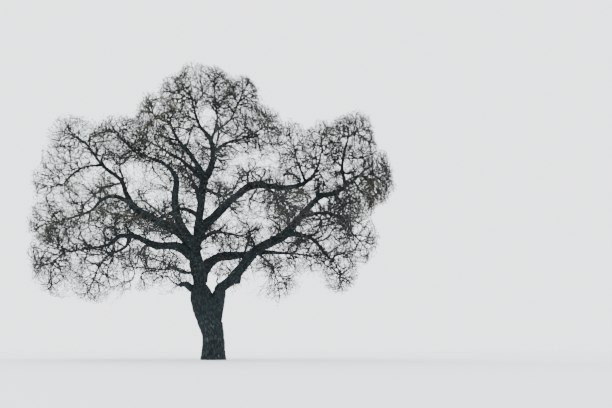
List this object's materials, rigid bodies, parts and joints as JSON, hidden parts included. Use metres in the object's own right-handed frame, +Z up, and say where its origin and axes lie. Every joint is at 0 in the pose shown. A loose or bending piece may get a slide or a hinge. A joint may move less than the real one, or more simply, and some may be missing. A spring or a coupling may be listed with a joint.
{
  "type": "oak tree",
  "caption": "Wide, spreading oak in early spring, nearly bare: a thick leaning trunk forks low into long crooked boughs that end in rounded tufts of fine twigs.",
  "frame": {"origin": "middle of the trunk's foot, on the flat cut at ground level", "axes": "+Z up, +X to the right as the pictured side is seen, +Y away from that side"},
  "size_m": [20.4426, 14.5536, 16.3698],
  "materials": {
    "trunk_bark": "rough, furrowed",
    "bough_bark": "rough",
    "twigs": "dull"
  },
  "bodies": {
    "root": {"trunk": "trunk_bark", "bough_back_high": "bough_bark", "bough_back_low": "bough_bark", "bough_cross": "bough_bark", "bough_front_high": "bough_bark", "bough_front_left": "bough_bark", "bough_high_left": "bough_bark", "bough_high_left_low": "bough_bark", "bough_inner_right": "bough_bark", "bough_leader": "bough_bark", "bough_left": "bough_bark", "bough_left_arch": "bough_bark", "bough_left_arm_high": "bough_bark", "bough_left_arm_mid": "bough_bark", "bough_left_drop": "bough_bark", "bough_left_low": "bough_bark", "bough_left_small": "bough_bark", "bough_left_stem": "bough_bark", "bough_middle": "bough_bark", "bough_right": "bough_bark", "bough_right_arch": "bough_bark", "bough_right_droop": "bough_bark", "bough_right_low": "bough_bark", "bough_right_up": "bough_bark", "bough_shoulder": "bough_bark", "bough_top": "bough_bark", "bough_top_right": "bough_bark", "bough_upper_right": "bough_bark", "bough_upper_right_low": "bough_bark", "bough_upper_right_side": "bough_bark", "twigs_back_high": "twigs", "twigs_back_low": "twigs", "twigs_cross": "twigs", "twigs_front_high": "twigs", "twigs_front_left": "twigs", "twigs_high_left": "twigs", "twigs_high_left_low": "twigs", "twigs_inner_right": "twigs", "twigs_leader": "twigs", "twigs_left": "twigs", "twigs_left_arch": "twigs", "twigs_left_arm_high": "twigs", "twigs_left_arm_mid": "twigs", "twigs_left_drop": "twigs", "twigs_left_low": "twigs", "twigs_left_small": "twigs", "twigs_left_stem": "twigs", "twigs_middle": "twigs", "twigs_right": "twigs", "twigs_right_arch": "twigs", "twigs_right_droop": "twigs", "twigs_right_low": "twigs", "twigs_right_up": "twigs", "twigs_shoulder": "twigs", "twigs_top": "twigs", "twigs_top_right": "twigs", "twigs_upper_right": "twigs", "twigs_upper_right_low": "twigs", "twigs_upper_right_side": "twigs"}
  },
  "joints": []
}
